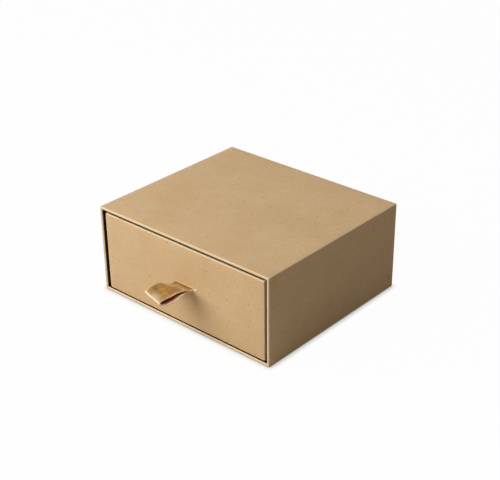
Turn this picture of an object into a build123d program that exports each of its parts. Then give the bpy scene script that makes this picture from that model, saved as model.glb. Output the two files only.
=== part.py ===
from build123d import *
import os

os.makedirs("parts", exist_ok=True)

# A rigid paper-wrapped gift box: a sleeve closed at the back, a drawer that slides out of its front,
# and a ribbon loop through a slit in the drawer's front to pull it by.
# Millimetres. X runs across the front, Y from the front to the back, Z up from the table.

# driving dimensions
sleeve_width = 105.0        # outside, across the front
sleeve_depth = 93.0         # outside, from the front rim to the back sheet
sleeve_height = 45.0        # outside, with the sheet under the base
sleeve_board = 1.0          # greyboard of the sleeve
drawer_board = 1.0          # greyboard of the drawer
paper = 0.15                # kraft paper of the wraps, liners and sheets
stay = 0.1                  # gummed paper tape of the corner stays
stay_leg = 9.0              # how far a stay reaches from its corner
stay_inset = 1.5            # bare board left at each end of a stay
edge_round = 0.25           # crushed edge of a board under its wrap
turn_in = 14.0              # wrap turned over a rim or an end
rim_turn = 0.5              # wrap left showing inside the sleeve's rim
sheet_margin = 3.0          # wrap left showing around a pasted sheet

side_gap = 1.55             # drawer to sleeve, each side
top_gap = 1.5               # drawer rim to sleeve, above
rest_gap = 0.15             # drawer to the sleeve's floor
front_recess = 0.5          # drawer front behind the sleeve's rim
back_gap = 1.5              # drawer back to the sleeve's lined back

ribbon_width = 12.0         # satin ribbon
ribbon = 0.35               # thickness of one layer
ribbon_reach = 18.3         # loop, from the drawer's face to the left end of its fold
ribbon_skew = 2.6           # the fold's right end stands this much further out
ribbon_open = 1.4           # half the loop's opening at its widest
ribbon_lift = 2.2           # how far the fold stands above the slit
ribbon_gap = 0.3            # loop to the drawer's face
tail_length = 12.0          # each ribbon end, glued flat behind the front
slit_clearance = 0.3        # around the ribbon in its slit
slit_offset = 1.2           # the slit stands this far right of the middle
patch_margin = 4.0          # paper patch beyond the ribbon's tails

# faces worked out from them
wrap_round = edge_round + paper
half_width = sleeve_width / 2
front = -sleeve_depth / 2
back = sleeve_depth / 2
wrap_bottom = paper
board_left = -half_width + paper
board_front = front + paper
board_back = back - 2 * paper
board_bottom = wrap_bottom + paper
board_top = sleeve_height - paper
room_left = board_left + sleeve_board
room_bottom = board_bottom + sleeve_board
room_top = board_top - sleeve_board
room_back = board_back - sleeve_board
floor_top = room_bottom + paper

drawer_left = room_left + paper + side_gap
drawer_front = front + front_recess
drawer_back = room_back - paper - back_gap
drawer_bottom = floor_top + rest_gap
drawer_top = room_top - paper - top_gap
drawer_wrap_bottom = drawer_bottom + paper
tray_left = drawer_left + paper
tray_front = drawer_front + paper
tray_back = drawer_back - paper
tray_bottom = drawer_wrap_bottom + paper
tray_top = drawer_top - paper
well_left = tray_left + drawer_board
well_front = tray_front + drawer_board
well_back = tray_back - drawer_board
well_bottom = tray_bottom + drawer_board

slit_height = (drawer_wrap_bottom + drawer_top) / 2
slit_left = slit_offset - ribbon_width / 2 - slit_clearance
slit_right = slit_offset + ribbon_width / 2 + slit_clearance
slit_half = ribbon + slit_clearance
lining_front = well_front + paper


def block(x, y, z, mode=Mode.ADD):
    """A box between two values on each axis."""
    with Locations(((x[0] + x[1]) / 2, (y[0] + y[1]) / 2, (z[0] + z[1]) / 2)):
        Box(x[1] - x[0], y[1] - y[0], z[1] - z[0], mode=mode)


def across(y):
    """The plane that faces the front at depth y, with X to the right and Z up."""
    return Plane.XZ.offset(-y)


def edges_on(solid, axis, place):
    """Edges that lie wholly at one place along an axis."""
    near = 1e-4
    return solid.edges().filter_by_position(axis, place - near, place + near)


# ---- sleeve ----

# stays: folded tape along the four long edges, pressed flush into the boards
stay_length = board_back - board_front - 2 * stay_inset
sleeve_centre = (board_bottom + board_top) / 2
with BuildPart() as sleeve_edge_stays:
    with BuildSketch(across(board_front + stay_inset)):
        with Locations((0, sleeve_centre)):
            RectangleRounded(-2 * board_left, board_top - board_bottom, edge_round)
            RectangleRounded(-2 * (board_left + stay), board_top - board_bottom - 2 * stay,
                             edge_round - stay, mode=Mode.SUBTRACT)
            Rectangle(-2 * (board_left + stay_leg), sleeve_height, mode=Mode.SUBTRACT)
            Rectangle(sleeve_width, board_top - board_bottom - 2 * stay_leg, mode=Mode.SUBTRACT)
    extrude(amount=-stay_length)
sleeve_edge_stays.part.label = "sleeve_edge_stays"
export_step(sleeve_edge_stays.part, "parts/sleeve_edge_stays.step")


# the top and bottom boards run the full width, with their long outer edges and front edges crushed round
with BuildPart() as sleeve_top_board:
    block((board_left, -board_left), (board_front, board_back), (room_top, board_top))
    long_edges = edges_on(sleeve_top_board.part, Axis.Z, board_top).filter_by(Axis.Y)
    front_edges = edges_on(sleeve_top_board.part, Axis.Y, board_front).filter_by(Axis.X)
    fillet(long_edges + front_edges, radius=edge_round)
    add(sleeve_edge_stays.part, mode=Mode.SUBTRACT)
sleeve_top_board.part.label = "sleeve_top_board"
export_step(sleeve_top_board.part, "parts/sleeve_top_board.step")

with BuildPart() as sleeve_bottom_board:
    block((board_left, -board_left), (board_front, board_back), (board_bottom, room_bottom))
    long_edges = edges_on(sleeve_bottom_board.part, Axis.Z, board_bottom).filter_by(Axis.Y)
    front_edges = edges_on(sleeve_bottom_board.part, Axis.Y, board_front).filter_by(Axis.X)
    fillet(long_edges + front_edges, radius=edge_round)
    add(sleeve_edge_stays.part, mode=Mode.SUBTRACT)
sleeve_bottom_board.part.label = "sleeve_bottom_board"
export_step(sleeve_bottom_board.part, "parts/sleeve_bottom_board.step")

# the side boards stand between the top and bottom boards
with BuildPart() as sleeve_left_board:
    block((board_left, room_left), (board_front, board_back), (room_bottom, room_top))
    fillet(edges_on(sleeve_left_board.part, Axis.Y, board_front).filter_by(Axis.Z), radius=edge_round)
    add(sleeve_edge_stays.part, mode=Mode.SUBTRACT)
sleeve_left_board.part.label = "sleeve_left_board"
export_step(sleeve_left_board.part, "parts/sleeve_left_board.step")

with BuildPart() as sleeve_right_board:
    block((-room_left, -board_left), (board_front, board_back), (room_bottom, room_top))
    fillet(edges_on(sleeve_right_board.part, Axis.Y, board_front).filter_by(Axis.Z), radius=edge_round)
    add(sleeve_edge_stays.part, mode=Mode.SUBTRACT)
sleeve_right_board.part.label = "sleeve_right_board"
export_step(sleeve_right_board.part, "parts/sleeve_right_board.step")

# the back board is set inside the ring of the other four
with BuildPart() as sleeve_back_board:
    block((room_left, -room_left), (room_back, board_back), (room_bottom, room_top))
sleeve_back_board.part.label = "sleeve_back_board"
export_step(sleeve_back_board.part, "parts/sleeve_back_board.step")

# liner: a black sheet around the inside, from just behind the rim to the back board
# it covers the wrap's turn-in, and the two are one layer here
liner_front = front + rim_turn
with BuildPart() as sleeve_liner:
    block((room_left, -room_left), (liner_front, room_back), (room_bottom, room_top))
    block((room_left + paper, -room_left - paper), (liner_front, room_back),
          (floor_top, room_top - paper), mode=Mode.SUBTRACT)
sleeve_liner.part.label = "sleeve_liner"
export_step(sleeve_liner.part, "parts/sleeve_liner.step")

# back liner: the same black paper on the inner face of the back board
with BuildPart() as sleeve_back_liner:
    block((room_left + paper, -room_left - paper), (room_back - paper, room_back),
          (floor_top, room_top - paper))
sleeve_back_liner.part.label = "sleeve_back_liner"
export_step(sleeve_back_liner.part, "parts/sleeve_back_liner.step")

# wrap: one sheet around the four sides, turned in over the front rim and over the rear ends
with BuildPart() as sleeve_wrap:
    with BuildSketch(across(front)):
        with Locations((0, (wrap_bottom + sleeve_height) / 2)):
            RectangleRounded(sleeve_width, sleeve_height - wrap_bottom, wrap_round)
    extrude(amount=-(board_back + paper - front))
    block((room_left + paper, -room_left - paper), (front, room_back), (floor_top, room_top - paper),
          mode=Mode.SUBTRACT)
    fillet(edges_on(sleeve_wrap.part, Axis.Y, front), radius=wrap_round)
    fillet(edges_on(sleeve_wrap.part, Axis.Y, board_back + paper), radius=wrap_round)
    block((room_left, -room_left), (liner_front, board_back), (room_bottom, room_top), mode=Mode.SUBTRACT)
    for board in (sleeve_top_board, sleeve_bottom_board, sleeve_left_board, sleeve_right_board,
                  sleeve_edge_stays):
        add(board.part, mode=Mode.SUBTRACT)
    block((-half_width + turn_in, half_width - turn_in), (room_back, back),
          (wrap_bottom + turn_in, sleeve_height - turn_in), mode=Mode.SUBTRACT)
sleeve_wrap.part.label = "sleeve_wrap"
export_step(sleeve_wrap.part, "parts/sleeve_wrap.step")

# sheets pasted over the back and under the base, each set in from the edges
with BuildPart() as sleeve_back_sheet:
    block((-half_width + sheet_margin, half_width - sheet_margin), (back - paper, back),
          (wrap_bottom + sheet_margin, sleeve_height - sheet_margin))
sleeve_back_sheet.part.label = "sleeve_back_sheet"
export_step(sleeve_back_sheet.part, "parts/sleeve_back_sheet.step")

with BuildPart() as sleeve_base_sheet:
    block((-half_width + sheet_margin, half_width - sheet_margin),
          (front + sheet_margin, back - paper - sheet_margin), (0, paper))
sleeve_base_sheet.part.label = "sleeve_base_sheet"
export_step(sleeve_base_sheet.part, "parts/sleeve_base_sheet.step")

# ---- drawer ----

# stays: folded tape down the four upright corners, pressed flush into the boards
tray_depth = tray_back - tray_front
tray_middle = (tray_front + tray_back) / 2
with BuildPart() as drawer_corner_stays:
    with BuildSketch(Plane.XY.offset(tray_bottom + stay_inset)):
        with Locations((0, tray_middle)):
            RectangleRounded(-2 * tray_left, tray_depth, edge_round)
            RectangleRounded(-2 * (tray_left + stay), tray_depth - 2 * stay, edge_round - stay,
                             mode=Mode.SUBTRACT)
            Rectangle(-2 * (tray_left + stay_leg), sleeve_depth, mode=Mode.SUBTRACT)
            Rectangle(sleeve_width, tray_depth - 2 * stay_leg, mode=Mode.SUBTRACT)
    extrude(amount=tray_top - tray_bottom - 2 * stay_inset)
drawer_corner_stays.part.label = "drawer_corner_stays"
export_step(drawer_corner_stays.part, "parts/drawer_corner_stays.step")

with BuildPart() as drawer_base_board:
    block((tray_left, -tray_left), (tray_front, tray_back), (tray_bottom, well_bottom))
    upright_edges = drawer_base_board.edges().filter_by(Axis.Z)
    fillet(upright_edges + edges_on(drawer_base_board.part, Axis.Z, tray_bottom), radius=edge_round)
    add(drawer_corner_stays.part, mode=Mode.SUBTRACT)
drawer_base_board.part.label = "drawer_base_board"
export_step(drawer_base_board.part, "parts/drawer_base_board.step")

# front and back boards run the full width, and the side boards stand between them
with BuildPart() as drawer_front_board:
    block((tray_left, -tray_left), (tray_front, well_front), (well_bottom, tray_top))
    fillet(edges_on(drawer_front_board.part, Axis.Y, tray_front).filter_by(Axis.Z), radius=edge_round)
    block((slit_left, slit_right), (tray_front, well_front),
          (slit_height - slit_half, slit_height + slit_half), mode=Mode.SUBTRACT)
    add(drawer_corner_stays.part, mode=Mode.SUBTRACT)
drawer_front_board.part.label = "drawer_front_board"
export_step(drawer_front_board.part, "parts/drawer_front_board.step")

with BuildPart() as drawer_back_board:
    block((tray_left, -tray_left), (well_back, tray_back), (well_bottom, tray_top))
    fillet(edges_on(drawer_back_board.part, Axis.Y, tray_back).filter_by(Axis.Z), radius=edge_round)
    add(drawer_corner_stays.part, mode=Mode.SUBTRACT)
drawer_back_board.part.label = "drawer_back_board"
export_step(drawer_back_board.part, "parts/drawer_back_board.step")

with BuildPart() as drawer_left_board:
    block((tray_left, well_left), (well_front, well_back), (well_bottom, tray_top))
    add(drawer_corner_stays.part, mode=Mode.SUBTRACT)
drawer_left_board.part.label = "drawer_left_board"
export_step(drawer_left_board.part, "parts/drawer_left_board.step")

with BuildPart() as drawer_right_board:
    block((-well_left, -tray_left), (well_front, well_back), (well_bottom, tray_top))
    add(drawer_corner_stays.part, mode=Mode.SUBTRACT)
drawer_right_board.part.label = "drawer_right_board"
export_step(drawer_right_board.part, "parts/drawer_right_board.step")

# wrap: one sheet up the outside of the four walls, over the rim and down their inside,
# with its lower edge turned under the base
drawer_depth = drawer_back - drawer_front
drawer_middle = (drawer_front + drawer_back) / 2
with BuildPart() as drawer_wrap:
    block((drawer_left, -drawer_left), (drawer_front, drawer_back), (drawer_wrap_bottom, drawer_top))
    fillet(drawer_wrap.edges(), radius=wrap_round)
    block((well_left + paper, -well_left - paper), (lining_front, well_back - paper),
          (well_bottom, drawer_top), mode=Mode.SUBTRACT)
    inner_rim = edges_on(drawer_wrap.part, Axis.Z, drawer_top).filter_by_position(
        Axis.X, well_left, -well_left).filter_by_position(Axis.Y, well_front, well_back)
    fillet(inner_rim, radius=wrap_round)
    block((slit_left, slit_right), (drawer_front, lining_front),
          (slit_height - slit_half, slit_height + slit_half), mode=Mode.SUBTRACT)
    for board in (drawer_base_board, drawer_front_board, drawer_back_board, drawer_left_board,
                  drawer_right_board, drawer_corner_stays):
        add(board.part, mode=Mode.SUBTRACT)
    block((drawer_left + turn_in, -drawer_left - turn_in), (drawer_front + turn_in, drawer_back - turn_in),
          (drawer_wrap_bottom, tray_bottom), mode=Mode.SUBTRACT)
drawer_wrap.part.label = "drawer_wrap"
export_step(drawer_wrap.part, "parts/drawer_wrap.step")

with BuildPart() as drawer_floor_sheet:
    block((well_left + paper, -well_left - paper), (lining_front, well_back - paper),
          (well_bottom, well_bottom + paper))
drawer_floor_sheet.part.label = "drawer_floor_sheet"
export_step(drawer_floor_sheet.part, "parts/drawer_floor_sheet.step")

with BuildPart() as drawer_base_sheet:
    block((drawer_left + sheet_margin, -drawer_left - sheet_margin),
          (drawer_front + sheet_margin, drawer_back - sheet_margin), (drawer_bottom, drawer_wrap_bottom))
drawer_base_sheet.part.label = "drawer_base_sheet"
export_step(drawer_base_sheet.part, "parts/drawer_base_sheet.step")

# ---- ribbon ----

ribbon_left = slit_offset - ribbon_width / 2
ribbon_right = slit_offset + ribbon_width / 2

# tails: both layers pass through the slit, then one turns up and one down behind the front
with BuildPart() as ribbon_tails:
    block((ribbon_left, ribbon_right), (drawer_front, lining_front + ribbon),
          (slit_height - ribbon, slit_height + ribbon))
    block((ribbon_left, ribbon_right), (lining_front, lining_front + ribbon),
          (slit_height - tail_length, slit_height + tail_length))
ribbon_tails.part.label = "ribbon_tails"
export_step(ribbon_tails.part, "parts/ribbon_tails.step")

# patch: paper pasted over the tails, down to the lining around them
patch_half_height = tail_length + patch_margin
with BuildPart() as ribbon_patch:
    block((ribbon_left - patch_margin, ribbon_right + patch_margin),
          (lining_front, lining_front + ribbon + paper),
          (slit_height - patch_half_height, slit_height + patch_half_height))
    chamfer(edges_on(ribbon_patch.part, Axis.Y, lining_front + ribbon + paper), length=ribbon)
    block((slit_left, slit_right), (lining_front, lining_front + ribbon),
          (slit_height - tail_length, slit_height + tail_length), mode=Mode.SUBTRACT)
ribbon_patch.part.label = "ribbon_patch"
export_step(ribbon_patch.part, "parts/ribbon_patch.step")

# loop: the same ribbon outside the slit, a lifted teardrop seen from the side, which swings at its root
root = drawer_front - ribbon_gap - ribbon
fold = 2 * ribbon
loop_sides = ((ribbon_left, ribbon_reach), (ribbon_right, ribbon_reach + ribbon_skew))
loop_layers = ((Mode.ADD, 0, root), (Mode.SUBTRACT, ribbon, root - ribbon_reach / 5))
end = slit_height + ribbon_lift
middle = slit_height + ribbon_lift * 0.8
with BuildPart() as ribbon_pull:
    # the outside of the band first, then the hollow inside it, set in by one layer
    for mode, inset, start in loop_layers:
        half = ribbon - inset
        spread = ribbon_open - inset
        turn_half = fold - inset
        for x, reach in loop_sides:
            tip = drawer_front - reach + inset
            turn = drawer_front - reach + fold
            belly = (root + drawer_front - reach) / 2
            with BuildSketch(Plane.YZ.offset(x)):
                with BuildLine():
                    Spline((start, slit_height + half), (belly, middle + spread), (turn, end + turn_half),
                           tangents=[(-1, 0.2), (-1, -0.1)])
                    ThreePointArc((turn, end + turn_half), (tip, end), (turn, end - turn_half))
                    Spline((turn, end - turn_half), (belly, middle - spread), (start, slit_height - half),
                           tangents=[(1, 0.02), (1, -0.2)])
                    if half > 0:
                        ThreePointArc((start, slit_height - half), (start + half, slit_height),
                                      (start, slit_height + half))
                make_face()
        loft(mode=mode)
ribbon_pull.part.label = "ribbon_pull"
export_step(ribbon_pull.part, "parts/ribbon_pull.step")

print("drawer outside", -2 * drawer_left, drawer_depth, drawer_top - drawer_bottom)
print("well", -2 * (well_left + paper), well_back - paper - lining_front, drawer_top - well_bottom - paper)
print("pull axis", drawer_front - ribbon_gap - ribbon, slit_height)
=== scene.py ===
import math

import bmesh
import bpy
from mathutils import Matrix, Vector, noise


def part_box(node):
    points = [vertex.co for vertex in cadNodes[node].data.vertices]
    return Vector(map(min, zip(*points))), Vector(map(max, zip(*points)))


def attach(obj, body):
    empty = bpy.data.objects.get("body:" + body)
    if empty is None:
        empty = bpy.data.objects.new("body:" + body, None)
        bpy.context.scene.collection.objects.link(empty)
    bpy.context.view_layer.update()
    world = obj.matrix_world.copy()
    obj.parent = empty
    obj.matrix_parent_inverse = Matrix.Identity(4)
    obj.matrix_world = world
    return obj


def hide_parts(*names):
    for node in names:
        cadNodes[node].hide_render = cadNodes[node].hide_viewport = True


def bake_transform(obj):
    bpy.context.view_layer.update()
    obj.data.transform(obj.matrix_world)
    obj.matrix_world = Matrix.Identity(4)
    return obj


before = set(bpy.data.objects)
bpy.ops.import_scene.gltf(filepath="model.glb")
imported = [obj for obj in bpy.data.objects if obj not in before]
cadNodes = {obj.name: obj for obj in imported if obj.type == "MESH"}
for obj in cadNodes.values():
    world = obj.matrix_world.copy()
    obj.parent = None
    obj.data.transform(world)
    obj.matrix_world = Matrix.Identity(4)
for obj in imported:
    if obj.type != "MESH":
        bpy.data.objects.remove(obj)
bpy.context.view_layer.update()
mm = 0.001


def linear(hexText):
    channels = [int(hexText[i:i + 2], 16) / 255 for i in (1, 3, 5)]
    return [c / 12.92 if c <= 0.04045 else ((c + 0.055) / 1.055) ** 2.4 for c in channels] + [1.0]


def addNode(tree, kind, sockets=None, **settings):
    node = tree.nodes.new(kind)
    for name, value in settings.items():
        setattr(node, name, value)
    for key, value in (sockets or {}).items():
        if isinstance(value, bpy.types.NodeSocket):
            tree.links.new(value, node.inputs[key])
        else:
            node.inputs[key].default_value = value
    return node


def newMaterial(name):
    material = bpy.data.materials.new(name)
    material.use_nodes = True
    material.node_tree.nodes.clear()
    return material, material.node_tree


def dress(piece, material):
    piece.data.materials.clear()
    piece.data.materials.append(material)


def filletPath(corners, steps=5, spacing=None):
    # corners: (u, v, radius), closed; returns the rounded outline with long runs divided
    points = []
    count = len(corners)
    for i, (u, v, radius) in enumerate(corners):
        here = Vector((u, v))
        before = (Vector(corners[i - 1][:2]) - here).normalized()
        after = (Vector(corners[(i + 1) % count][:2]) - here).normalized()
        if radius <= 0:
            points.append(here)
            continue
        half = before.angle(after) / 2
        reach = radius / math.tan(half)
        centre = here + (before + after).normalized() * (radius / math.sin(half))
        start = here + before * reach - centre
        end = here + after * reach - centre
        turn = start.angle_signed(end)
        for k in range(steps + 1):
            angle = -turn * k / steps
            points.append(centre + Vector((start.x * math.cos(angle) - start.y * math.sin(angle),
                                           start.x * math.sin(angle) + start.y * math.cos(angle))))
    if not spacing:
        return points
    divided = []
    for i, p in enumerate(points):
        q = points[(i + 1) % len(points)]
        parts = max(1, round((q - p).length / spacing))
        divided += [p.lerp(q, k / parts) for k in range(parts)]
    return divided


def roundedRing(halfA, halfB, radius, sides, arcSteps=4):
    # sides: fractions -1..1 along the four sides, starting with the side that runs along +a at -b
    cornerSigns = [(1, -1), (1, 1), (-1, 1), (-1, -1)]
    ring = []
    for side in range(4):
        fromSign = cornerSigns[side - 1]
        toSign = cornerSigns[side]
        outward = [(0, -1), (1, 0), (0, 1), (-1, 0)][side]
        start = Vector((fromSign[0] * (halfA - radius) + outward[0] * radius,
                        fromSign[1] * (halfB - radius) + outward[1] * radius))
        end = Vector((toSign[0] * (halfA - radius) + outward[0] * radius,
                      toSign[1] * (halfB - radius) + outward[1] * radius))
        ring += [start.lerp(end, (f + 1) / 2) for f in sides[side]]
        centre = Vector((toSign[0] * (halfA - radius), toSign[1] * (halfB - radius)))
        startAngle = math.atan2(outward[1], outward[0])
        for k in range(1, arcSteps):
            angle = startAngle + math.pi / 2 * k / arcSteps
            ring.append(centre + Vector((math.cos(angle), math.sin(angle))) * radius)
    return ring


def evenSides(lengths, spacing):
    sides = []
    for length in lengths:
        parts = max(2, round(length / spacing))
        sides.append([2 * k / parts - 1 for k in range(parts + 1)])
    return sides


def meshObject(name, vertices, faces, smooth=True):
    mesh = bpy.data.meshes.new(name)
    mesh.from_pydata([tuple(v) for v in vertices], [], faces)
    work = bmesh.new()
    work.from_mesh(mesh)
    bmesh.ops.recalc_face_normals(work, faces=work.faces)
    work.to_mesh(mesh)
    work.free()
    mesh.polygons.foreach_set("use_smooth", [smooth] * len(mesh.polygons))
    piece = bpy.data.objects.new(name, mesh)
    bpy.context.scene.collection.objects.link(piece)
    return piece


def makePlain(piece):
    # turns the evaluated object, modifiers and all, into its plain mesh
    evaluated = piece.evaluated_get(bpy.context.evaluated_depsgraph_get())
    mesh = bpy.data.meshes.new_from_object(evaluated)
    piece.modifiers.clear()
    piece.data = mesh


def sweptShell(name, halfA, halfB, cornerRadius, leastRadius, path, sides, place):
    # path: closed outline of (inset, along); place turns (a, b, along) into a point
    rings = []
    for inset, along in path:
        radius = max(cornerRadius - inset, leastRadius)
        ring = roundedRing(halfA - inset, halfB - inset, radius, sides)
        rings.append([place(p.x, p.y, along) for p in ring])
    size = len(rings[0])
    vertices = [v for ring in rings for v in ring]
    faces = []
    for i in range(len(rings)):
        j = (i + 1) % len(rings)
        for k in range(size):
            m = (k + 1) % size
            faces.append((i * size + k, i * size + m, j * size + m, j * size + k))
    return meshObject(name, vertices, faces)


kraft = {
    "sheet": "#D4B386",        # clean unbleached face
    "shade": "#C6A272",        # slow cloud of darker pulp
    "fleck": "#8A6438",        # bark and shive flecks
    "fibre": "#B08B5A",        # darker fibres
    "pale": "#E6CDA4",         # pale fibres
    "wornAndHighlight": "#F3DDB4",         # lighter where the sheet is folded over an edge: wear, and a painted highlight along the folds
    "wornAndHighlightShare": 0.9,          # of the worn tone with its painted highlight, right on a fold
    "cloudSize": 18 * mm,
    "cloudTone": (0.38, 0.66, 0.40),     # noise where the shade starts and where it is full, and its most
    "mottleSize": 2.2 * mm,
    "mottleTone": (0.42, 0.75, 0.32),
    "toothSize": 0.45 * mm,    # true tooth is about 0.1 mm, too fine to show
    "toothStrength": 0.35,
    "toothHeight": 0.05 * mm,
}

# cell that holds one fibre, its length and half width, share of cells that have one, tone and strength
# true fibres are about 0.03 mm wide, drawn coarser so that they show
kraftFibres = [
    (2.1 * mm, 1.7 * mm, 0.07 * mm, 0.60, "fibre", 0.28),
    (2.6 * mm, 2.2 * mm, 0.08 * mm, 0.60, "pale", 0.30),
    (1.2 * mm, 0.8 * mm, 0.06 * mm, 0.55, "fibre", 0.24),
    (8.0 * mm, 0.7 * mm, 0.15 * mm, 0.40, "fleck", 0.75),
]
fibreShift = (0.31, 0.17, 0.23)   # moves each kind of fibre on, so that no two kinds share their cells


def scatterFibres(tree, spot, cell, length, half, share, turn):
    # one short fibre in each Voronoi cell, lying flat in the sheet at its own angle
    shift = tuple(turn * step for step in fibreShift)
    moved = addNode(tree, "ShaderNodeVectorMath", {0: spot, 1: shift}, operation="ADD").outputs[0]
    cells = addNode(tree, "ShaderNodeTexVoronoi", {"Vector": moved, "Scale": 1 / cell})
    face = addNode(tree, "ShaderNodeNewGeometry").outputs["True Normal"]
    fromCentre = addNode(tree, "ShaderNodeVectorMath", {0: moved, 1: cells.outputs["Position"]},
                         operation="SUBTRACT")
    anyWay = addNode(tree, "ShaderNodeVectorMath", {0: cells.outputs["Color"], 1: (0.5, 0.5, 0.5)},
                     operation="SUBTRACT")
    inSheet = []
    for arrow in (fromCentre.outputs[0], anyWay.outputs[0]):
        # takes off the part that stands out of the sheet
        height = addNode(tree, "ShaderNodeVectorMath", {0: arrow, 1: face}, operation="DOT_PRODUCT")
        lifted = addNode(tree, "ShaderNodeVectorMath", {0: face, "Scale": height.outputs["Value"]},
                         operation="SCALE")
        inSheet.append(addNode(tree, "ShaderNodeVectorMath", {0: arrow, 1: lifted.outputs[0]},
                               operation="SUBTRACT").outputs[0])
    offset, lean = inSheet
    aim = addNode(tree, "ShaderNodeVectorMath", {0: lean}, operation="NORMALIZE").outputs[0]
    along = addNode(tree, "ShaderNodeVectorMath", {0: offset, 1: aim}, operation="DOT_PRODUCT").outputs["Value"]
    spine = addNode(tree, "ShaderNodeVectorMath", {0: aim, "Scale": along}, operation="SCALE")
    beside = addNode(tree, "ShaderNodeVectorMath", {0: offset, 1: spine.outputs[0]}, operation="SUBTRACT")
    across = addNode(tree, "ShaderNodeVectorMath", {0: beside.outputs[0]}, operation="LENGTH").outputs["Value"]
    # full to its half width and gone at twice that; each half of its length fades over the last third
    thin = addNode(tree, "ShaderNodeMapRange", {"Value": across, 1: half, 2: half * 2, 3: 1.0, 4: 0.0})
    reach = addNode(tree, "ShaderNodeMath", {0: along}, operation="ABSOLUTE")
    short = addNode(tree, "ShaderNodeMapRange", {"Value": reach.outputs[0], 1: length * 0.35, 2: length * 0.5,
                                                 3: 1.0, 4: 0.0})
    pick = addNode(tree, "ShaderNodeSeparateXYZ", {0: cells.outputs["Color"]})
    kept = addNode(tree, "ShaderNodeMath", {0: pick.outputs[1], 1: share}, operation="LESS_THAN")
    body = addNode(tree, "ShaderNodeMath", {0: thin.outputs[0], 1: short.outputs[0]}, operation="MULTIPLY")
    return addNode(tree, "ShaderNodeMath", {0: body.outputs[0], 1: kept.outputs[0]},
                   operation="MULTIPLY").outputs[0]


def kraftPaper():
    # unbleached kraft, machine-finished: matt, a little cloudy, with sparse dark flecks and pale fibres
    material, tree = newMaterial("unbleachedKraftPaper")
    spot = addNode(tree, "ShaderNodeTexCoord").outputs["Object"]
    cloud = addNode(tree, "ShaderNodeTexNoise", {"Vector": spot, "Scale": 1 / kraft["cloudSize"],
                                                 "Detail": 3.0})
    mottle = addNode(tree, "ShaderNodeTexNoise", {"Vector": spot, "Scale": 1 / kraft["mottleSize"],
                                                  "Detail": 4.0, "Roughness": 0.6})
    tooth = addNode(tree, "ShaderNodeTexNoise", {"Vector": spot, "Scale": 1 / kraft["toothSize"],
                                                 "Detail": 2.0})
    coats = []
    for pattern, (start, full, most) in ((cloud, kraft["cloudTone"]), (mottle, kraft["mottleTone"])):
        amount = addNode(tree, "ShaderNodeMapRange", {"Value": pattern.outputs["Fac"], 1: start, 2: full,
                                                      4: most})
        coats.append((amount, "shade"))
    for turn, (cell, length, half, share, tone, strength) in enumerate(kraftFibres):
        mask = scatterFibres(tree, spot, cell, length, half, share, turn)
        amount = addNode(tree, "ShaderNodeMath", {0: mask, 1: strength}, operation="MULTIPLY")
        coats.append((amount, tone))
    # the fold attribute lays on the worn tone: wear, and a painted highlight along the folds and the rim's face
    fold = addNode(tree, "ShaderNodeAttribute", attribute_name="fold")
    wornAndHighlight = addNode(tree, "ShaderNodeMath", {0: fold.outputs["Fac"], 1: kraft["wornAndHighlightShare"]},
                   operation="MULTIPLY")
    coats.append((wornAndHighlight, "wornAndHighlight"))
    colour = linear(kraft["sheet"])
    for amount, tone in coats:
        colour = addNode(tree, "ShaderNodeMix", {0: amount.outputs[0], 6: colour, 7: linear(kraft[tone])},
                         data_type="RGBA").outputs[2]
    height = addNode(tree, "ShaderNodeMath", {0: mottle.outputs["Fac"], 1: tooth.outputs["Fac"]},
                     operation="ADD")
    bump = addNode(tree, "ShaderNodeBump", {"Height": height.outputs[0], "Strength": kraft["toothStrength"],
                                            "Distance": kraft["toothHeight"]})
    surface = addNode(tree, "ShaderNodeBsdfPrincipled", {"Base Color": colour, "Roughness": 0.78,
                                                         "Specular IOR Level": 0.35, "Normal": bump.outputs[0]})
    addNode(tree, "ShaderNodeOutputMaterial", {"Surface": surface.outputs[0]})
    return material


# black lining for the sleeve's inside: its near-black face is the lining's own colour and also the painted
# shade of the narrow gaps
gapShadeLining = {
    "face": "#180F0B",
    "raised": "#261A13",         # where the tooth stands up
    "toothSize": 0.6 * mm,
    "toothRange": (0.35, 0.7),   # noise from the one colour to the other
    "toothStrength": 0.3,
    "toothHeight": 0.05 * mm,
}


def blackPaperGapShade():
    # black lining paper, dyed through and calendered: very dark, matt, with a faint paper tooth; its black is
    # also painted shade, standing in for the deep shade in the narrow gaps round the drawer
    material, tree = newMaterial("blackLiningPaperGapShade")
    spot = addNode(tree, "ShaderNodeTexCoord").outputs["Object"]
    tooth = addNode(tree, "ShaderNodeTexNoise", {"Vector": spot, "Scale": 1 / gapShadeLining["toothSize"],
                                                 "Detail": 3.0})
    start, full = gapShadeLining["toothRange"]
    factor = addNode(tree, "ShaderNodeMapRange", {"Value": tooth.outputs["Fac"], 1: start, 2: full})
    colour = addNode(tree, "ShaderNodeMix", {0: factor.outputs[0], 6: linear(gapShadeLining["face"]),
                                             7: linear(gapShadeLining["raised"])}, data_type="RGBA")
    bump = addNode(tree, "ShaderNodeBump", {"Height": tooth.outputs["Fac"], "Strength": gapShadeLining["toothStrength"],
                                            "Distance": gapShadeLining["toothHeight"]})
    surface = addNode(tree, "ShaderNodeBsdfPrincipled", {"Base Color": colour.outputs[2], "Roughness": 0.85,
                                                         "Specular IOR Level": 0.25,
                                                         "Normal": bump.outputs[0]})
    addNode(tree, "ShaderNodeOutputMaterial", {"Surface": surface.outputs[0]})
    return material


rawBoard = {
    "face": "#9A938A",
    "speckle": "#827A70",
    "speckleSize": 0.8 * mm,
    "speckleRange": (0.35, 0.7),
    "toothStrength": 0.4,
    "toothHeight": 0.05 * mm,
}


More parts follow.
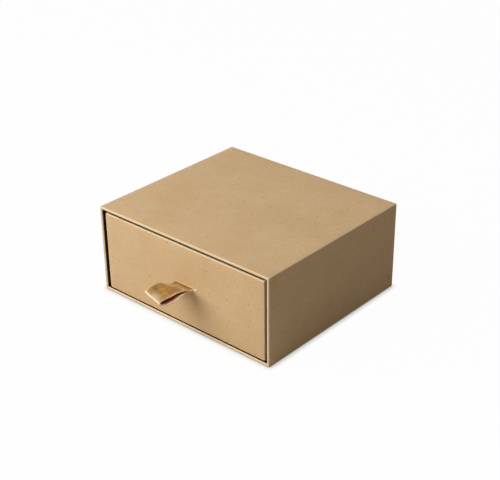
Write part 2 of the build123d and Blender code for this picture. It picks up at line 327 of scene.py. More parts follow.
def greyboard():
    # recycled greyboard, pressed and uncoated: dull grey-brown with mixed fibres
    material, tree = newMaterial("recycledGreyboard")
    spot = addNode(tree, "ShaderNodeTexCoord").outputs["Object"]
    speckle = addNode(tree, "ShaderNodeTexNoise", {"Vector": spot, "Scale": 1 / rawBoard["speckleSize"],
                                                   "Detail": 5.0})
    start, full = rawBoard["speckleRange"]
    factor = addNode(tree, "ShaderNodeMapRange", {"Value": speckle.outputs["Fac"], 1: start, 2: full})
    colour = addNode(tree, "ShaderNodeMix", {0: factor.outputs[0], 6: linear(rawBoard["face"]),
                                             7: linear(rawBoard["speckle"])}, data_type="RGBA")
    bump = addNode(tree, "ShaderNodeBump", {"Height": speckle.outputs["Fac"],
                                            "Strength": rawBoard["toothStrength"],
                                            "Distance": rawBoard["toothHeight"]})
    surface = addNode(tree, "ShaderNodeBsdfPrincipled", {"Base Color": colour.outputs[2], "Roughness": 0.9,
                                                         "Normal": bump.outputs[0]})
    addNode(tree, "ShaderNodeOutputMaterial", {"Surface": surface.outputs[0]})
    return material


# painted shade in the creases, the dull back darkened as painted shade, and a painted highlight along the fold,
# laid on where the ribbon's own attributes say
satin = {
    "face": "#BE8834",
    "shadow": "#8E5C1A",
    "creaseShade": "#6B4512",          # painted shade where the floats turn away from the light
    "back": "#A03C10",            # the dull inner face, deep in its own shade
    "fold": "#FFF1CF",            # painted highlight along the fold, where the spread floats throw the light back
    "light": "#FFE9C2",
    "threadSpacing": 0.4 * mm,    # true warp spacing is about 0.1 mm, drawn coarser so that it shows
    "threadStrength": 0.2,
    "threadHeight": 0.02 * mm,
    "streakWidth": 0.7 * mm,
    "streakLength": 5 * mm,
    "poolSize": 5.5 * mm,         # pools of sheen and shade along the ribbon
    "shadeRange": (0.60, 0.92),   # streaks and pools, from the face colour to the shadow
}


def satinRibbon():
    # polyester satin, woven with long floats along the ribbon: a broad sheen across them, deep gold beside it
    material, tree = newMaterial("goldSatinRibbon")
    uv = addNode(tree, "ShaderNodeUVMap", uv_map="ribbon").outputs[0]
    split = addNode(tree, "ShaderNodeSeparateXYZ", {0: uv})
    # warp threads run the ribbon's length, so the lines repeat across its width (u, in metres)
    lines = addNode(tree, "ShaderNodeMath", {0: split.outputs[0], 1: 2 * math.pi / satin["threadSpacing"]},
                    operation="MULTIPLY")
    wave = addNode(tree, "ShaderNodeMath", {0: lines.outputs[0]}, operation="SINE")
    streakScale = (1 / satin["streakWidth"], 1 / satin["streakLength"], 1.0)
    streaks = addNode(tree, "ShaderNodeMapping", {"Vector": uv, "Scale": streakScale})
    slub = addNode(tree, "ShaderNodeTexNoise", {"Vector": streaks.outputs[0], "Scale": 1.0, "Detail": 2.0})
    pool = addNode(tree, "ShaderNodeTexNoise", {"Vector": uv, "Scale": 1 / satin["poolSize"], "Detail": 1.0})
    blend = addNode(tree, "ShaderNodeMath", {0: slub.outputs["Fac"], 1: 0.5, 2: pool.outputs["Fac"]},
                    operation="MULTIPLY_ADD")
    start, full = satin["shadeRange"]
    factor = addNode(tree, "ShaderNodeMapRange", {"Value": blend.outputs[0], 1: start, 2: full})
    colour = addNode(tree, "ShaderNodeMix", {0: factor.outputs[0], 6: linear(satin["face"]),
                                             7: linear(satin["shadow"])}, data_type="RGBA")
    for attribute, tone in (("creaseShade", "creaseShade"), ("fold", "fold"), ("inner", "back")):
        amount = addNode(tree, "ShaderNodeAttribute", attribute_name=attribute)
        colour = addNode(tree, "ShaderNodeMix", {0: amount.outputs["Fac"], 6: colour.outputs[2],
                                                 7: linear(satin[tone])}, data_type="RGBA")
    height = addNode(tree, "ShaderNodeMath", {0: wave.outputs[0], 1: slub.outputs["Fac"]}, operation="ADD")
    bump = addNode(tree, "ShaderNodeBump", {"Height": height.outputs[0], "Strength": satin["threadStrength"],
                                            "Distance": satin["threadHeight"]})
    tangent = addNode(tree, "ShaderNodeTangent", direction_type="UV_MAP", uv_map="ribbon")
    surface = addNode(tree, "ShaderNodeBsdfPrincipled",
                      {"Base Color": colour.outputs[2], "Roughness": 0.32, "Anisotropic": 0.5,
                       "Anisotropic Rotation": 0.25, "Specular IOR Level": 1.0,
                       "Specular Tint": linear(satin["light"]), "Coat Weight": 0.35, "Coat Roughness": 0.28,
                       "Sheen Weight": 0.25, "Sheen Roughness": 0.4, "Sheen Tint": linear(satin["light"]),
                       "Tangent": tangent.outputs[0], "Normal": bump.outputs[0]})
    addNode(tree, "ShaderNodeOutputMaterial", {"Surface": surface.outputs[0]})
    return material


# pale twist of the woven edge: thread colour and painted highlight
yarn = {
    "light": "#F0D6A2",
    "dark": "#D9B273",
    "twist": 1.2 * mm,
    "twistStrength": 0.3,
    "twistHeight": 0.04 * mm,
}


def selvedgeThread():
    # the ribbon's woven edge: paler twisted polyester, rounder than the face, so it catches a line of light;
    # its paleness is partly the thread's own and partly a painted highlight
    material, tree = newMaterial("paleSelvedgeThreadAndHighlight")
    spot = addNode(tree, "ShaderNodeTexCoord").outputs["Object"]
    twist = addNode(tree, "ShaderNodeTexWave", {"Vector": spot, "Scale": 1 / yarn["twist"], "Distortion": 1.0},
                    bands_direction="Y")
    colour = addNode(tree, "ShaderNodeMix", {0: twist.outputs["Fac"], 6: linear(yarn["light"]),
                                             7: linear(yarn["dark"])}, data_type="RGBA")
    bump = addNode(tree, "ShaderNodeBump", {"Height": twist.outputs["Fac"], "Strength": yarn["twistStrength"],
                                            "Distance": yarn["twistHeight"]})
    surface = addNode(tree, "ShaderNodeBsdfPrincipled", {"Base Color": colour.outputs[2], "Roughness": 0.4,
                                                         "Sheen Weight": 0.3, "Normal": bump.outputs[0]})
    addNode(tree, "ShaderNodeOutputMaterial", {"Surface": surface.outputs[0]})
    return material


outerKraft = kraftPaper()
selvedge = selvedgeThread()
board = greyboard()
ribbonSatin = satinRibbon()
blackLiningGapShade = blackPaperGapShade()
for name, node in cadNodes.items():
    if name.endswith("board"):
        dress(node, board)
    elif name.endswith("liner"):
        dress(node, blackLiningGapShade)
    elif name.startswith("ribbon") and name != "ribbon_patch":
        dress(node, ribbonSatin)
    else:
        dress(node, outerKraft)
print("materials made")

wrapShape = {
    "paper": 0.15 * mm,
    "board": 1.0 * mm,
    "outerFold": 0.45 * mm,     # radius of the sheet over a board's edge
    "drawerFold": 0.6 * mm,     # the drawer's rim and foot are worn rounder
    "drawerFoot": 0.85 * mm,
    "drawerCorner": 1.0 * mm,
    "boardRound": 0.45,         # of their thickness: the drawer's boards are rounded to fit under those folds
    "roundSteps": 3,
    "innerFold": 0.25 * mm,
    "cornerFold": 0.45 * mm,
    "leastCorner": 0.08 * mm,
    "rimWearAndHighlight": 0.45,            # share of the worn tone, wear and painted highlight, over the rim's narrow face
    "foldWearAndHighlight": 6,              # how fast the worn tone, wear and painted highlight, comes up round a fold
    "turnIn": 14 * mm,
    "spacing": 3.0 * mm,
    "wave": 0.12 * mm,
    "waveSize": 24 * mm,
    "onFace": 0.01 * mm,        # a point this near to a face lies on it
    "facing": 0.999,            # and is clear of its folds where its normal is this straight
}


def shellPath(outerAt, rimAt, innerEnd, footFold, rimFold):
    # one closed outline of the sheet: over the far end, along the outside, round the rim and back inside
    paper = wrapShape["paper"]
    wall = wrapShape["board"] + 2 * paper
    turnUnder = wrapShape["turnIn"]
    innerFold = wrapShape["innerFold"]
    sign = 1 if outerAt > rimAt else -1
    return [
        (turnUnder, outerAt, 0), (0, outerAt, footFold), (0, rimAt, rimFold),
        (wall, rimAt, wrapShape["outerFold"]), (wall, innerEnd, 0), (wall - paper, innerEnd, 0),
        (wall - paper, rimAt + sign * paper, innerFold), (paper, rimAt + sign * paper, innerFold),
        (paper, outerAt - sign * paper, footFold - paper), (turnUnder, outerAt - sign * paper, 0),
    ]


def wavePaper(piece, low, high, axes, seed):
    # a pasted sheet is never quite flat: its outside swells and dips up to a tenth of a millimetre
    normals = [v.normal.copy() for v in piece.data.vertices]
    for v, normal in zip(piece.data.vertices, normals):
        for axis in axes:
            outside = min(abs(v.co[axis] - low[axis]), abs(v.co[axis] - high[axis])) < wrapShape["onFace"]
            if outside and abs(normal[axis]) > wrapShape["facing"]:
                swell = noise.noise(v.co / wrapShape["waveSize"] + Vector((seed, 0, 0)))
                v.co[axis] += math.copysign(swell * wrapShape["wave"], normal[axis])


def foldShade(piece, axis, rimAt):
    # shares of the worn tone, which is wear and a painted highlight: up to 1 along a fold, less over the rim's
    # narrow face, 0 away from them
    mesh = piece.data
    shade = mesh.attributes.new("fold", "FLOAT", "POINT")
    values = []
    for v in mesh.vertices:
        n = v.normal
        sharp = 1 - max(abs(n.x), abs(n.y), abs(n.z))
        rim = abs(v.co[axis] - rimAt) < wrapShape["onFace"]
        values.append(max(min(1.0, sharp * wrapShape["foldWearAndHighlight"]), wrapShape["rimWearAndHighlight"] if rim else 0.0))
    shade.data.foreach_set("value", values)


low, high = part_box("sleeve_wrap")
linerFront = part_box("sleeve_liner")[0].y
sleevePath = filletPath(shellPath(high.y, low.y, linerFront, wrapShape["outerFold"], wrapShape["outerFold"]),
                        spacing=wrapShape["spacing"])
sleeveSides = evenSides([high.x - low.x, high.z - low.z] * 2, wrapShape["spacing"])
sleeveMiddle = (low.z + high.z) / 2
sleeveWrap = sweptShell("sleeveWrap", (high.x - low.x) / 2, (high.z - low.z) / 2, wrapShape["cornerFold"],
                        wrapShape["leastCorner"], sleevePath, sleeveSides,
                        lambda a, b, along: Vector((a, along, sleeveMiddle + b)))
foldShade(sleeveWrap, 1, low.y)
wavePaper(sleeveWrap, low, high, (0, 2), 3.0)
dress(sleeveWrap, outerKraft)
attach(sleeveWrap, "sleeve")
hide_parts("sleeve_wrap")
print("sleeve wrapped")

tailsLow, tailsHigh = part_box("ribbon_tails")
slitRoom = 0.2 * mm               # beside the ribbon, at each end of the slit
slitShape = {
    "left": tailsLow.x - slitRoom,
    "right": tailsHigh.x + slitRoom,
    "height": (tailsLow.z + tailsHigh.z) / 2,
    "half": 0.55 * mm,            # a little closer than the solid's, to keep the line thin
    "cutAhead": 1 * mm,           # the cutter starts this far in front of the piece's face
    "cutBehind": 3 * mm,          # and goes this far behind it
}


def blockObject(name, start, end):
    corners = [(x, y, z) for x in (start[0], end[0]) for y in (start[1], end[1]) for z in (start[2], end[2])]
    sides = [(0, 1, 3, 2), (4, 6, 7, 5), (0, 4, 5, 1), (2, 3, 7, 6), (0, 2, 6, 4), (1, 5, 7, 3)]
    return meshObject(name, corners, sides, smooth=False)


def cutBlock(piece, start, end):
    # cuts a block out of a closed mesh and leaves the result as a plain mesh
    block = blockObject(piece.name + "Cutter", start, end)
    cut = piece.modifiers.new("cut", "BOOLEAN")
    cut.object = block
    cut.operation = "DIFFERENCE"
    cut.solver = "EXACT"
    makePlain(piece)
    bpy.data.objects.remove(block)


def cutSlit(piece, face):
    cutBlock(piece, (slitShape["left"], face - slitShape["cutAhead"], slitShape["height"] - slitShape["half"]),
             (slitShape["right"], face + slitShape["cutBehind"], slitShape["height"] + slitShape["half"]))


low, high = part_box("drawer_wrap")
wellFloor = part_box("drawer_floor_sheet")[0].z
drawerPath = filletPath(shellPath(low.z, high.z, wellFloor, wrapShape["drawerFoot"], wrapShape["drawerFold"]),
                        spacing=wrapShape["spacing"])
drawerSides = evenSides([high.x - low.x, high.y - low.y] * 2, wrapShape["spacing"])
drawerMiddle = (low.y + high.y) / 2
drawerWrap = sweptShell("drawerWrap", (high.x - low.x) / 2, (high.y - low.y) / 2, wrapShape["drawerCorner"],
                        wrapShape["leastCorner"], drawerPath, drawerSides,
                        lambda a, b, along: Vector((a, drawerMiddle + b, along)))
cutSlit(drawerWrap, low.y)
wavePaper(drawerWrap, low, high, (0, 1), 7.0)
foldShade(drawerWrap, 2, high.z)
dress(drawerWrap, outerKraft)
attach(drawerWrap, "drawer")
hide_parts("drawer_wrap")

for side in ("front", "back", "left", "right", "base"):
    low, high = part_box(f"drawer_{side}_board")
    drawerBoard = blockObject(f"drawer{side.title()}Board", low, high)
    rounding = drawerBoard.modifiers.new("rounding", "BEVEL")
    rounding.width = wrapShape["boardRound"] * min(high - low)
    rounding.segments = wrapShape["roundSteps"]
    makePlain(drawerBoard)
    if side == "front":
        cutSlit(drawerBoard, low.y)
    dress(drawerBoard, board)
    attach(drawerBoard, "drawer")
    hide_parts(f"drawer_{side}_board")
print("drawer wrapped")

ribbonShape = {
    "middle": (tailsLow.x + tailsHigh.x) / 2,
    "face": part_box("drawer_wrap")[0].y,
    "slit": slitShape["height"],
    "width": tailsHigh.x - tailsLow.x,
    "layer": 0.26 * mm,         # thinner than the solid's, so that two layers and their cords go into the slit
    "skew": 0.15,               # the right edge runs this much further out than the left
    "tailPlace": tailsHigh.y - 0.17 * mm,
    "tail": (tailsHigh.z - tailsLow.z) / 2,
    "turnHeight": 0.6 * mm,     # the tails turn into the slit this far above and below it
    "turnAhead": 0.1 * mm,
    "inSlit": 0.7 * mm,         # the layers' place within the slit, behind the face
    "upperInSlit": -0.08 * mm,
    "lowerInSlit": -0.40 * mm,
    "step": 0.3 * mm,
    "across": 20,
    "edgeCord": 0.17 * mm,      # radius of the woven edge
    "cordStep": 0.5 * mm,
    "ripple": 3.6 * mm,         # soft waves across the loop
    "rippleHeight": 0.22 * mm,
    "rippleFrom": 1.5 * mm,     # they start this far out from the face
    "rippleOver": 4 * mm,       # and come up over this length
    "foldSpread": 0.75 * mm,    # how far the fold's pale line, a painted highlight, reaches
    "edgePale": 0.8,            # share of the pale tone at the ribbon's edges, a painted highlight
    "upperEdge": 0.7,           # and how much of that the upper face keeps
    "edgeReach": (0.05, 0.06),  # how far in it goes at the left and at the right, as shares of the width
    "innerPale": (1.02, 0.15),  # place and reach of the pale tone, a painted highlight, along the right of the inner face
    "blendOver": (0.1 * mm, 4.3 * mm),   # bends between these distances from the face
}

# how far out from the face, the height above the slit at the left edge, in the middle and at the right edge,
# and the drift to the right, in mm: out along the upper layer, round the fold and back along the lower one
loopStations = [
    (0.0, -0.08, -0.08, -0.12, 0.0), (1.5, -0.05, 0.10, -0.05, 0.0), (3.3, 0.00, 0.80, 1.00, 0.0),
    (5.1, 0.60, 1.60, 1.95, 0.0), (7.1, 2.00, 2.30, 2.35, -0.1), (9.7, 3.25, 2.80, 2.55, -0.2),
    (12.9, 3.65, 3.00, 2.60, -0.25), (15.8, 3.45, 3.10, 2.80, -0.2), (17.9, 3.10, 3.00, 2.85, 0.0),
    (18.5, 2.65, 2.50, 2.35, 0.3), (18.0, 2.20, 1.95, 1.75, 0.9), (15.8, 1.85, 1.50, 1.15, 1.9),
    (12.9, 1.60, 1.30, 1.15, 2.5), (9.7, 1.30, 1.20, 1.35, 2.3), (6.5, 0.80, 0.95, 1.45, 1.4),
    (3.3, -0.20, 0.10, 0.45, 0.5), (1.5, -0.38, -0.30, -0.38, 0.0), (0.0, -0.40, -0.40, -0.42, 0.0),
]


def ribbonStations():
    # each station is three points, at the left edge, the middle and the right edge
    face, slit, tail, place, middle = (ribbonShape[k] for k in ("face", "slit", "tail", "tailPlace", "middle"))
    half = ribbonShape["width"] / 2
    # behind the front: down the glued tail, then forward into the slit
    inside = [(place, tail), (place, tail * 0.6), (place, tail * 0.2),
              (place - ribbonShape["turnAhead"], ribbonShape["turnHeight"])]
    behind = face + ribbonShape["inSlit"]
    upper = inside + [(behind, ribbonShape["upperInSlit"])]
    lower = [(behind, ribbonShape["lowerInSlit"])] + [(y, -z) for y, z in reversed(inside)]
    stations = [[Vector((middle + k * half, y, slit + z)) for k in (-1, 0, 1)] for y, z in upper]
    for out, *heights, drift in loopStations:
        row = []
        for k, height in enumerate(heights):
            reach = out * (1 + ribbonShape["skew"] * k / 2)
            row.append(Vector((middle + (k - 1) * half + drift * mm, face - reach * mm, slit + height * mm)))
        stations.append(row)
    return stations + [[Vector((middle + k * half, y, slit + z)) for k in (-1, 0, 1)] for y, z in lower]


def smoothRun(points, spacing):
    # a run of points through every control point, even along its length (Catmull-Rom, centripetal);
    # a whole number for the spacing is the count of steps
    fine = 12          # points drawn from one control point to the next, before they are spaced evenly
    least = 1e-7       # keeps two points at one place from dividing by nothing
    padded = [points[0] * 2 - points[1]] + points + [points[-1] * 2 - points[-2]]
    dense = []
    for i in range(1, len(padded) - 2):
        p0, p1, p2, p3 = padded[i - 1:i + 3]
        t0, t1 = 0.0, max((p1 - p0).length, least) ** 0.5
        t2 = t1 + max((p2 - p1).length, least) ** 0.5
        t3 = t2 + max((p3 - p2).length, least) ** 0.5
        for k in range(fine):
            t = t1 + (t2 - t1) * k / fine
            a1 = p0 * ((t1 - t) / (t1 - t0)) + p1 * ((t - t0) / (t1 - t0))
            a2 = p1 * ((t2 - t) / (t2 - t1)) + p2 * ((t - t1) / (t2 - t1))
            a3 = p2 * ((t3 - t) / (t3 - t2)) + p3 * ((t - t2) / (t3 - t2))
            b1 = a1 * ((t2 - t) / (t2 - t0)) + a2 * ((t - t0) / (t2 - t0))
            b2 = a2 * ((t3 - t) / (t3 - t1)) + a3 * ((t - t1) / (t3 - t1))
            dense.append(b1 * ((t2 - t) / (t2 - t1)) + b2 * ((t - t1) / (t2 - t1)))
    dense.append(points[-1].copy())
    lengths = [0.0]
    for a, b in zip(dense, dense[1:]):
        lengths.append(lengths[-1] + (b - a).length)
    count = spacing if isinstance(spacing, int) else max(2, round(lengths[-1] / spacing))
    run, j = [], 0
    for k in range(count + 1):
        want = lengths[-1] * k / count
        while j < len(lengths) - 2 and lengths[j + 1] < want:
            j += 1
        share = (want - lengths[j]) / max(lengths[j + 1] - lengths[j], least)
        run.append(dense[j].lerp(dense[j + 1], min(1.0, share)))
    return run


def ribbonSurface():
    # rows of points along the ribbon, each row running across it
    stations = ribbonStations()
    middle = smoothRun([row[1] for row in stations], ribbonShape["step"])
    count = len(middle) - 1
    left = smoothRun([row[0] for row in stations], count)
    right = smoothRun([row[2] for row in stations], count)
    rows = []
    for a, b, c in zip(left, middle, right):
        row = []
        for k in range(ribbonShape["across"] + 1):
            u = k / ribbonShape["across"]
            point = a * ((1 - u) * (1 - 2 * u)) + b * (4 * u * (1 - u)) + c * (u * (2 * u - 1))
            out = ribbonShape["face"] - point.y
            ease = min(1.0, max(0.0, (out - ribbonShape["rippleFrom"]) / ribbonShape["rippleOver"]))
            point.z += noise.noise(point / ribbonShape["ripple"]) * ribbonShape["rippleHeight"] * ease
            row.append(point)
        rows.append(row)
    return rows


# soft patches of painted highlight (sheen, root) and painted shade (crease, hollow) on the loop's upper face:
# strength, place and reach along the ribbon, how much further out the place is at the right edge, and place and
# reach across, from 0 at the left edge to 1 at the right
ribbonTones = {
    "sheen": (0.42, 2.4 * mm, 1.8 * mm, 0.0, 0.60, 0.30),      # its place is counted from the fold
    "root": (0.40, 3.6 * mm, 1.6 * mm, 0.0, 0.75, 0.30),       # the others' from the drawer's face
    "creaseShade": (0.80, 9.5 * mm, 1.1 * mm, -3.5 * mm, 0.45, 0.45),
    "hollow": (0.85, 14.4 * mm, 1.3 * mm, 0.0, 0.16, 0.20),
}


def ribbonShade(away, across, out, upper, outer):
    # shares of pale fold and edges (painted highlight), dark crease (painted shade) and dull inner face (its
    # duller colour, darkened as painted shade); away is the distance from the fold
    def bump(value, middle, reach):
        return math.exp(-((value - middle) / reach) ** 2)

    leftReach, rightReach = ribbonShape["edgeReach"]
    line = bump(away, 0, ribbonShape["foldSpread"])
    edge = ribbonShape["edgePale"] * max(bump(across, 0, leftReach), bump(across, 1, rightReach))
    if not outer:
        pale = min(1.0, max(line, edge, bump(across, *ribbonShape["innerPale"])))
        return pale, 0.0, 1 - pale
    if not upper:
        return max(line, edge), 0.0, 0.0
    tones = {}
    for name, (strength, place, reach, slant, placeAcross, reachAcross) in ribbonTones.items():
        along = bump(away if name == "sheen" else out, place + slant * across, reach)
        tones[name] = strength * along * bump(across, placeAcross, reachAcross)
    pale = min(1.0, max(line, edge * ribbonShape["upperEdge"], tones["sheen"], tones["root"]))
    return pale, min(1.0, tones["creaseShade"] + tones["hollow"]) * (1 - edge), 0.0


def ribbonBody():
    rows = ribbonSurface()
    across = ribbonShape["across"]
    count = len(rows)
    layer = ribbonShape["layer"]
    normals = []
    for i in range(count):
        line = []
        for k in range(across + 1):
            along = rows[min(i + 1, count - 1)][k] - rows[max(i - 1, 0)][k]
            over = rows[i][min(k + 1, across)] - rows[i][max(k - 1, 0)]
            line.append(along.cross(over).normalized())
        normals.append(line)
    vertices, uvs = [], []
    for side in (0.5, -0.5):
        for i, row in enumerate(rows):
            for k, p in enumerate(row):
                vertices.append(p + normals[i][k] * layer * side)
                uvs.append((k / across * ribbonShape["width"], i * ribbonShape["step"]))
    size = across + 1
    back = count * size
    faces = []
    for i in range(count - 1):
        for k in range(across):
            a = i * size + k
            faces.append((a, a + size, a + size + 1, a + 1))
            faces.append((back + a, back + a + 1, back + a + size + 1, back + a + size))
        for a in (i * size, i * size + across):
            faces.append((a, a + size, back + a + size, back + a))
    for row in (0, count - 1):
        for k in range(across):
            a = row * size + k
            faces.append((a, a + 1, back + a + 1, back + a))
    body = meshObject("ribbonLoop", vertices, faces)
    foldRow = min(range(count), key=lambda i: rows[i][across // 2].y)
    shades = []
    for outer in (True, False):
        for i, row in enumerate(rows):
            away = abs(i - foldRow) * ribbonShape["step"]
            for k, p in enumerate(row):
                out = ribbonShape["face"] - p.y
                shades.append(ribbonShade(away, k / across, out, i <= foldRow, outer))
    for name, values in zip(("fold", "creaseShade", "inner"), zip(*shades)):
        body.data.attributes.new(name, "FLOAT", "POINT").data.foreach_set("value", values)
    layerUv = body.data.uv_layers.new(name="ribbon")
    for loop in body.data.loops:
        layerUv.data[loop.index].uv = uvs[loop.vertex_index]
    return body, rows


def edgeCordTree():
    # follows an edge of the ribbon with a thin woven cord
    tree = bpy.data.node_groups.new("ribbonEdgeCord", "GeometryNodeTree")
    tree.interface.new_socket("Edge", in_out="INPUT", socket_type="NodeSocketGeometry")
    tree.interface.new_socket("Radius", in_out="INPUT", socket_type="NodeSocketFloat")
    tree.interface.new_socket("Step", in_out="INPUT", socket_type="NodeSocketFloat")
    tree.interface.new_socket("Material", in_out="INPUT", socket_type="NodeSocketMaterial")
    tree.interface.new_socket("Cord", in_out="OUTPUT", socket_type="NodeSocketGeometry")
    given = addNode(tree, "NodeGroupInput")
    path = addNode(tree, "GeometryNodeMeshToCurve", {"Mesh": given.outputs["Edge"]})
    even = addNode(tree, "GeometryNodeResampleCurve", {"Curve": path.outputs[0],
                                                       "Length": given.outputs["Step"]}, mode="LENGTH")
    ring = addNode(tree, "GeometryNodeCurvePrimitiveCircle", {"Resolution": 8,
                                                              "Radius": given.outputs["Radius"]})
    tube = addNode(tree, "GeometryNodeCurveToMesh", {"Curve": even.outputs[0],
                                                     "Profile Curve": ring.outputs[0], "Fill Caps": True})
    real = addNode(tree, "GeometryNodeRealizeInstances", {"Geometry": tube.outputs[0]})
    smooth = addNode(tree, "GeometryNodeSetShadeSmooth", {"Geometry": real.outputs[0]})
    finish = addNode(tree, "GeometryNodeSetMaterial", {"Geometry": smooth.outputs[0],
                                                       "Material": given.outputs["Material"]})
    addNode(tree, "NodeGroupOutput", {"Cord": finish.outputs[0]})
    return tree


def runNodes(piece, tree, values):
    # sets the tree's named inputs by their identifiers, then keeps the result as a plain mesh
    modifier = piece.modifiers.new(tree.name, "NODES")
    modifier.node_group = tree
    for item in tree.interface.items_tree:
        if item.in_out == "INPUT" and item.name in values:
            modifier[item.identifier] = values[item.name]
    makePlain(piece)


def joinInto(piece, *others):
    # adds the others' meshes and materials to the piece's own, and takes the others away
    work = bmesh.new()
    work.from_mesh(piece.data)
    for other in others:
        start = len(work.faces)
        work.from_mesh(other.data)
        work.faces.ensure_lookup_table()
        for material in other.data.materials:
            if material.name not in piece.data.materials:
                piece.data.materials.append(material)
        number = piece.data.materials.find(other.data.materials[0].name)
        for face in work.faces[start:]:
            face.material_index = number
            face.smooth = True
    work.to_mesh(piece.data)
    work.free()
    for other in others:
        bpy.data.objects.remove(other)


def pathObject(name, points, closed=False):
    # a bare line of edges through the points, for a tree to follow
    line = meshObject(name, points, [])
    work = bmesh.new()
    work.from_mesh(line.data)
    work.verts.ensure_lookup_table()
    count = len(work.verts)
    for i in range(count if closed else count - 1):
        work.edges.new((work.verts[i], work.verts[(i + 1) % count]))
    work.to_mesh(line.data)
    work.free()
    return line


ribbonLoop, ribbonRows = ribbonBody()
cordTree = edgeCordTree()
cords = []
for edge in (0, -1):
    cord = pathObject("ribbonEdge", [row[edge] for row in ribbonRows])
    runNodes(cord, cordTree, {"Radius": ribbonShape["edgeCord"], "Step": ribbonShape["cordStep"],
                              "Material": selvedge})
    cords.append(cord)
dress(ribbonLoop, ribbonSatin)
joinInto(ribbonLoop, *cords)
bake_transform(ribbonLoop)
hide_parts("ribbon_pull", "ribbon_tails")

# the die lifts the paper a little round the slit
lipShape = {
    "radius": 0.16 * mm,
    "room": 0.06 * mm,          # from the slit's edge to the middle of the lip
    "corner": 0.9,              # its corners' radius, as a share of its half height
    "sunk": 0.03 * mm,          # its middle lies this far behind the face
    "step": 0.4 * mm,
    "wornAndHighlight": 0.8,                # share of the worn tone: a painted highlight along the lip, and wear
}
lipHalf = slitShape["half"] + lipShape["room"]
lipCorners = filletPath([(slitShape[end], slitShape["height"] + side * lipHalf, lipHalf * lipShape["corner"])
                         for end, side in (("left", -1), ("right", -1), ("right", 1), ("left", 1))])
lipPlace = ribbonShape["face"] + lipShape["sunk"]
slitLip = pathObject("slitLip", [(x, lipPlace, z) for x, z in lipCorners], closed=True)
runNodes(slitLip, cordTree, {"Radius": lipShape["radius"], "Step": lipShape["step"], "Material": outerKraft})
# the whole lip takes the pale worn tone: a painted highlight on its lifted edge, and wear
lipFold = slitLip.data.attributes.new("fold", "FLOAT", "POINT")
lipFold.data.foreach_set("value", [lipShape["wornAndHighlight"]] * len(slitLip.data.vertices))
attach(slitLip, "drawer")

patchShape = {
    "step": 0.7 * mm,
    "room": 0.2 * mm,           # it stays up this far beyond the ribbon
    "fall": 0.9 * mm,           # how far beyond the ribbon the patch comes down to the lining
}


def drapedPatch():
    # a paper patch pasted over the ribbon's tails, which stand proud beneath it
    low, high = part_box("ribbon_patch")
    paper = wrapShape["paper"]
    lift = high.y - low.y - paper
    columns = round((high.x - low.x) / patchShape["step"])
    lines = round((high.z - low.z) / patchShape["step"])
    vertices = []
    for thickness in (0, paper):
        for i in range(lines + 1):
            for k in range(columns + 1):
                x = low.x + (high.x - low.x) * k / columns
                z = low.z + (high.z - low.z) * i / lines
                beside = max(abs(x - ribbonShape["middle"]) - ribbonShape["width"] / 2 - patchShape["room"], 0)
                beyond = max(abs(z - ribbonShape["slit"]) - ribbonShape["tail"] - patchShape["room"], 0)
                t = min(1.0, math.hypot(beside, beyond) / patchShape["fall"])
                vertices.append((x, low.y + lift * (1 - t * t * (3 - 2 * t)) + thickness, z))
    size = columns + 1
    back = size * (lines + 1)
    faces = []
    for i in range(lines):
        for k in range(columns):
            a = i * size + k
            faces += [(a, a + 1, a + size + 1, a + size),
                      (back + a, back + a + size, back + a + size + 1, back + a + 1)]
    edges = [(row + k, row + k + 1) for row in (0, lines * size) for k in range(columns)]
    for i in range(lines):
        edges += [(i * size, (i + 1) * size), (i * size + columns, (i + 1) * size + columns)]
    faces += [(a, b, back + b, back + a) for a, b in edges]
    patch = meshObject("tailPatch", vertices, faces)
    dress(patch, outerKraft)
    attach(patch, "drawer")
    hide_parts("ribbon_patch")


drapedPatch()
print("ribbon threaded")

studio = {
    "floorSize": 3.0,
    "floorColour": "#BFBDB9",
    "fill": 0.25,               # world light
    "fillColour": "#FFFBF4",
    "keyPlace": (-0.36, -0.54, 0.52),
    "keyAim": (0.0, 0.0, 0.02),
    "keySize": 0.78,
    "keyPower": 6.9,
    "skyPlace": (0.05, 0.15, 1.3),
    "skySize": 0.7,
    "skyPower": 1.3,
    "skyColour": "#BFD6FF",     # a cool top light greys the lid, as in daylight
    "contactReach": 3 * mm,     # how near the object the floor's own shade shows
    "glowShare": 0.98,          # the rest is the floor's own paint, so the cast shadow stays
}


def worldLight():
    world = bpy.data.worlds.new("studioWorld")
    bpy.context.scene.world = world
    world.use_nodes = True
    tree = world.node_tree
    tree.nodes.clear()
    rays = addNode(tree, "ShaderNodeLightPath")
    seen = addNode(tree, "ShaderNodeMath", {0: rays.outputs["Is Camera Ray"], 1: rays.outputs["Is Glossy Ray"]},
                   operation="MAXIMUM")
    seen = addNode(tree, "ShaderNodeMath", {0: seen.outputs[0], 1: rays.outputs["Is Transmission Ray"]},
                   operation="MAXIMUM")
    fill = addNode(tree, "ShaderNodeBackground", {"Color": linear(studio["fillColour"]),
                                                  "Strength": studio["fill"]})
    white = addNode(tree, "ShaderNodeBackground", {"Color": (1, 1, 1, 1), "Strength": 1.0})
    mix = addNode(tree, "ShaderNodeMixShader", {0: seen.outputs[0], 1: fill.outputs[0], 2: white.outputs[0]})
    addNode(tree, "ShaderNodeOutputWorld", {"Surface": mix.outputs[0]})


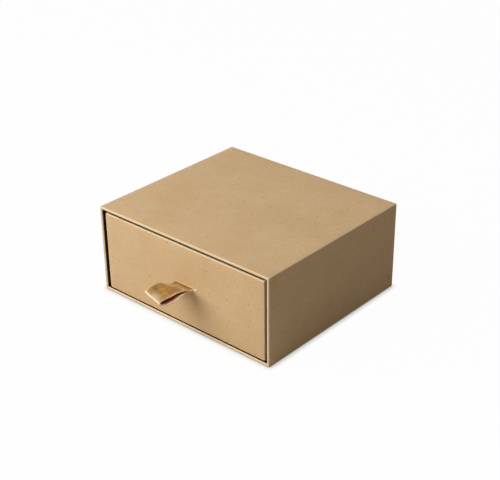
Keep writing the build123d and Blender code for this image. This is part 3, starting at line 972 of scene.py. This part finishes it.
def studioFloor():
    half = studio["floorSize"] / 2
    floor = meshObject("studioFloor", [(-half, -half, 0), (half, -half, 0), (half, half, 0), (-half, half, 0)],
                       [(0, 1, 2, 3)], smooth=False)
    material, tree = newMaterial("paleFloor")
    rays = addNode(tree, "ShaderNodeLightPath")
    paint = addNode(tree, "ShaderNodeBsdfDiffuse", {"Color": linear(studio["floorColour"])})
    glow = addNode(tree, "ShaderNodeEmission", {"Color": (1, 1, 1, 1), "Strength": 1.0})
    # close to the object the glow gives way, so that the line of contact keeps its shadow
    contact = addNode(tree, "ShaderNodeAmbientOcclusion", {"Distance": studio["contactReach"]}, samples=8)
    clear = addNode(tree, "ShaderNodeMapRange", {"Value": contact.outputs["AO"], 4: studio["glowShare"]})
    share = addNode(tree, "ShaderNodeMath", {0: rays.outputs["Is Camera Ray"], 1: clear.outputs[0]},
                    operation="MULTIPLY")
    mix = addNode(tree, "ShaderNodeMixShader", {0: share.outputs[0], 1: paint.outputs[0], 2: glow.outputs[0]})
    addNode(tree, "ShaderNodeOutputMaterial", {"Surface": mix.outputs[0]})
    dress(floor, material)


def areaLight(name, place, aim, size, power, colour="#FFFFFF"):
    lamp = bpy.data.lights.new(name, "AREA")
    lamp.shape = "DISK"
    lamp.size = size
    lamp.energy = power
    lamp.color = linear(colour)[:3]
    holder = bpy.data.objects.new(name, lamp)
    holder.location = place
    holder.rotation_mode = "QUATERNION"
    holder.rotation_quaternion = (Vector(aim) - Vector(place)).to_track_quat("-Z", "Y")
    bpy.context.scene.collection.objects.link(holder)


cameraFit = {
    "azimuth": 41.702,          # degrees round from the front
    "elevation": 28.120,
    "roll": -0.621,
    "distance": 545.16 * mm,
    "shiftRight": -0.35 * mm,   # where the aim point lies in the view's own plane
    "shiftUp": -23.08 * mm,
    "focal": 1111.5,            # pixels, with the image 500 wide
    "imageWidth": 500,
    "sensorWidth": 36,
    "clip": (0.01, 20),
}


def makeCamera():
    azimuth, elevation, roll = (math.radians(cameraFit[k]) for k in ("azimuth", "elevation", "roll"))
    back = Vector((math.sin(azimuth) * math.cos(elevation), -math.cos(azimuth) * math.cos(elevation),
                   math.sin(elevation)))
    right = Vector((math.cos(azimuth), math.sin(azimuth), 0))
    up = back.cross(right)
    rightRolled = right * math.cos(roll) + up * math.sin(roll)
    upRolled = up * math.cos(roll) - right * math.sin(roll)
    data = bpy.data.cameras.new("camera")
    data.sensor_width = cameraFit["sensorWidth"]
    data.lens = cameraFit["sensorWidth"] * cameraFit["focal"] / cameraFit["imageWidth"]
    data.clip_start, data.clip_end = cameraFit["clip"]
    camera = bpy.data.objects.new("camera", data)
    place = (back * cameraFit["distance"] - rightRolled * cameraFit["shiftRight"]
             - upRolled * cameraFit["shiftUp"])
    matrix = camera.matrix_world
    for row in range(3):
        matrix[row][0], matrix[row][1], matrix[row][2] = rightRolled[row], upRolled[row], back[row]
        matrix[row][3] = place[row]
    camera.matrix_world = matrix
    bpy.context.scene.collection.objects.link(camera)
    bpy.context.scene.camera = camera


worldLight()
studioFloor()
areaLight("keyLight", studio["keyPlace"], studio["keyAim"], studio["keySize"], studio["keyPower"])
areaLight("skyLight", studio["skyPlace"], studio["keyAim"], studio["skySize"], studio["skyPower"],
          studio["skyColour"])
makeCamera()
bpy.context.scene.view_settings.view_transform = "Standard"
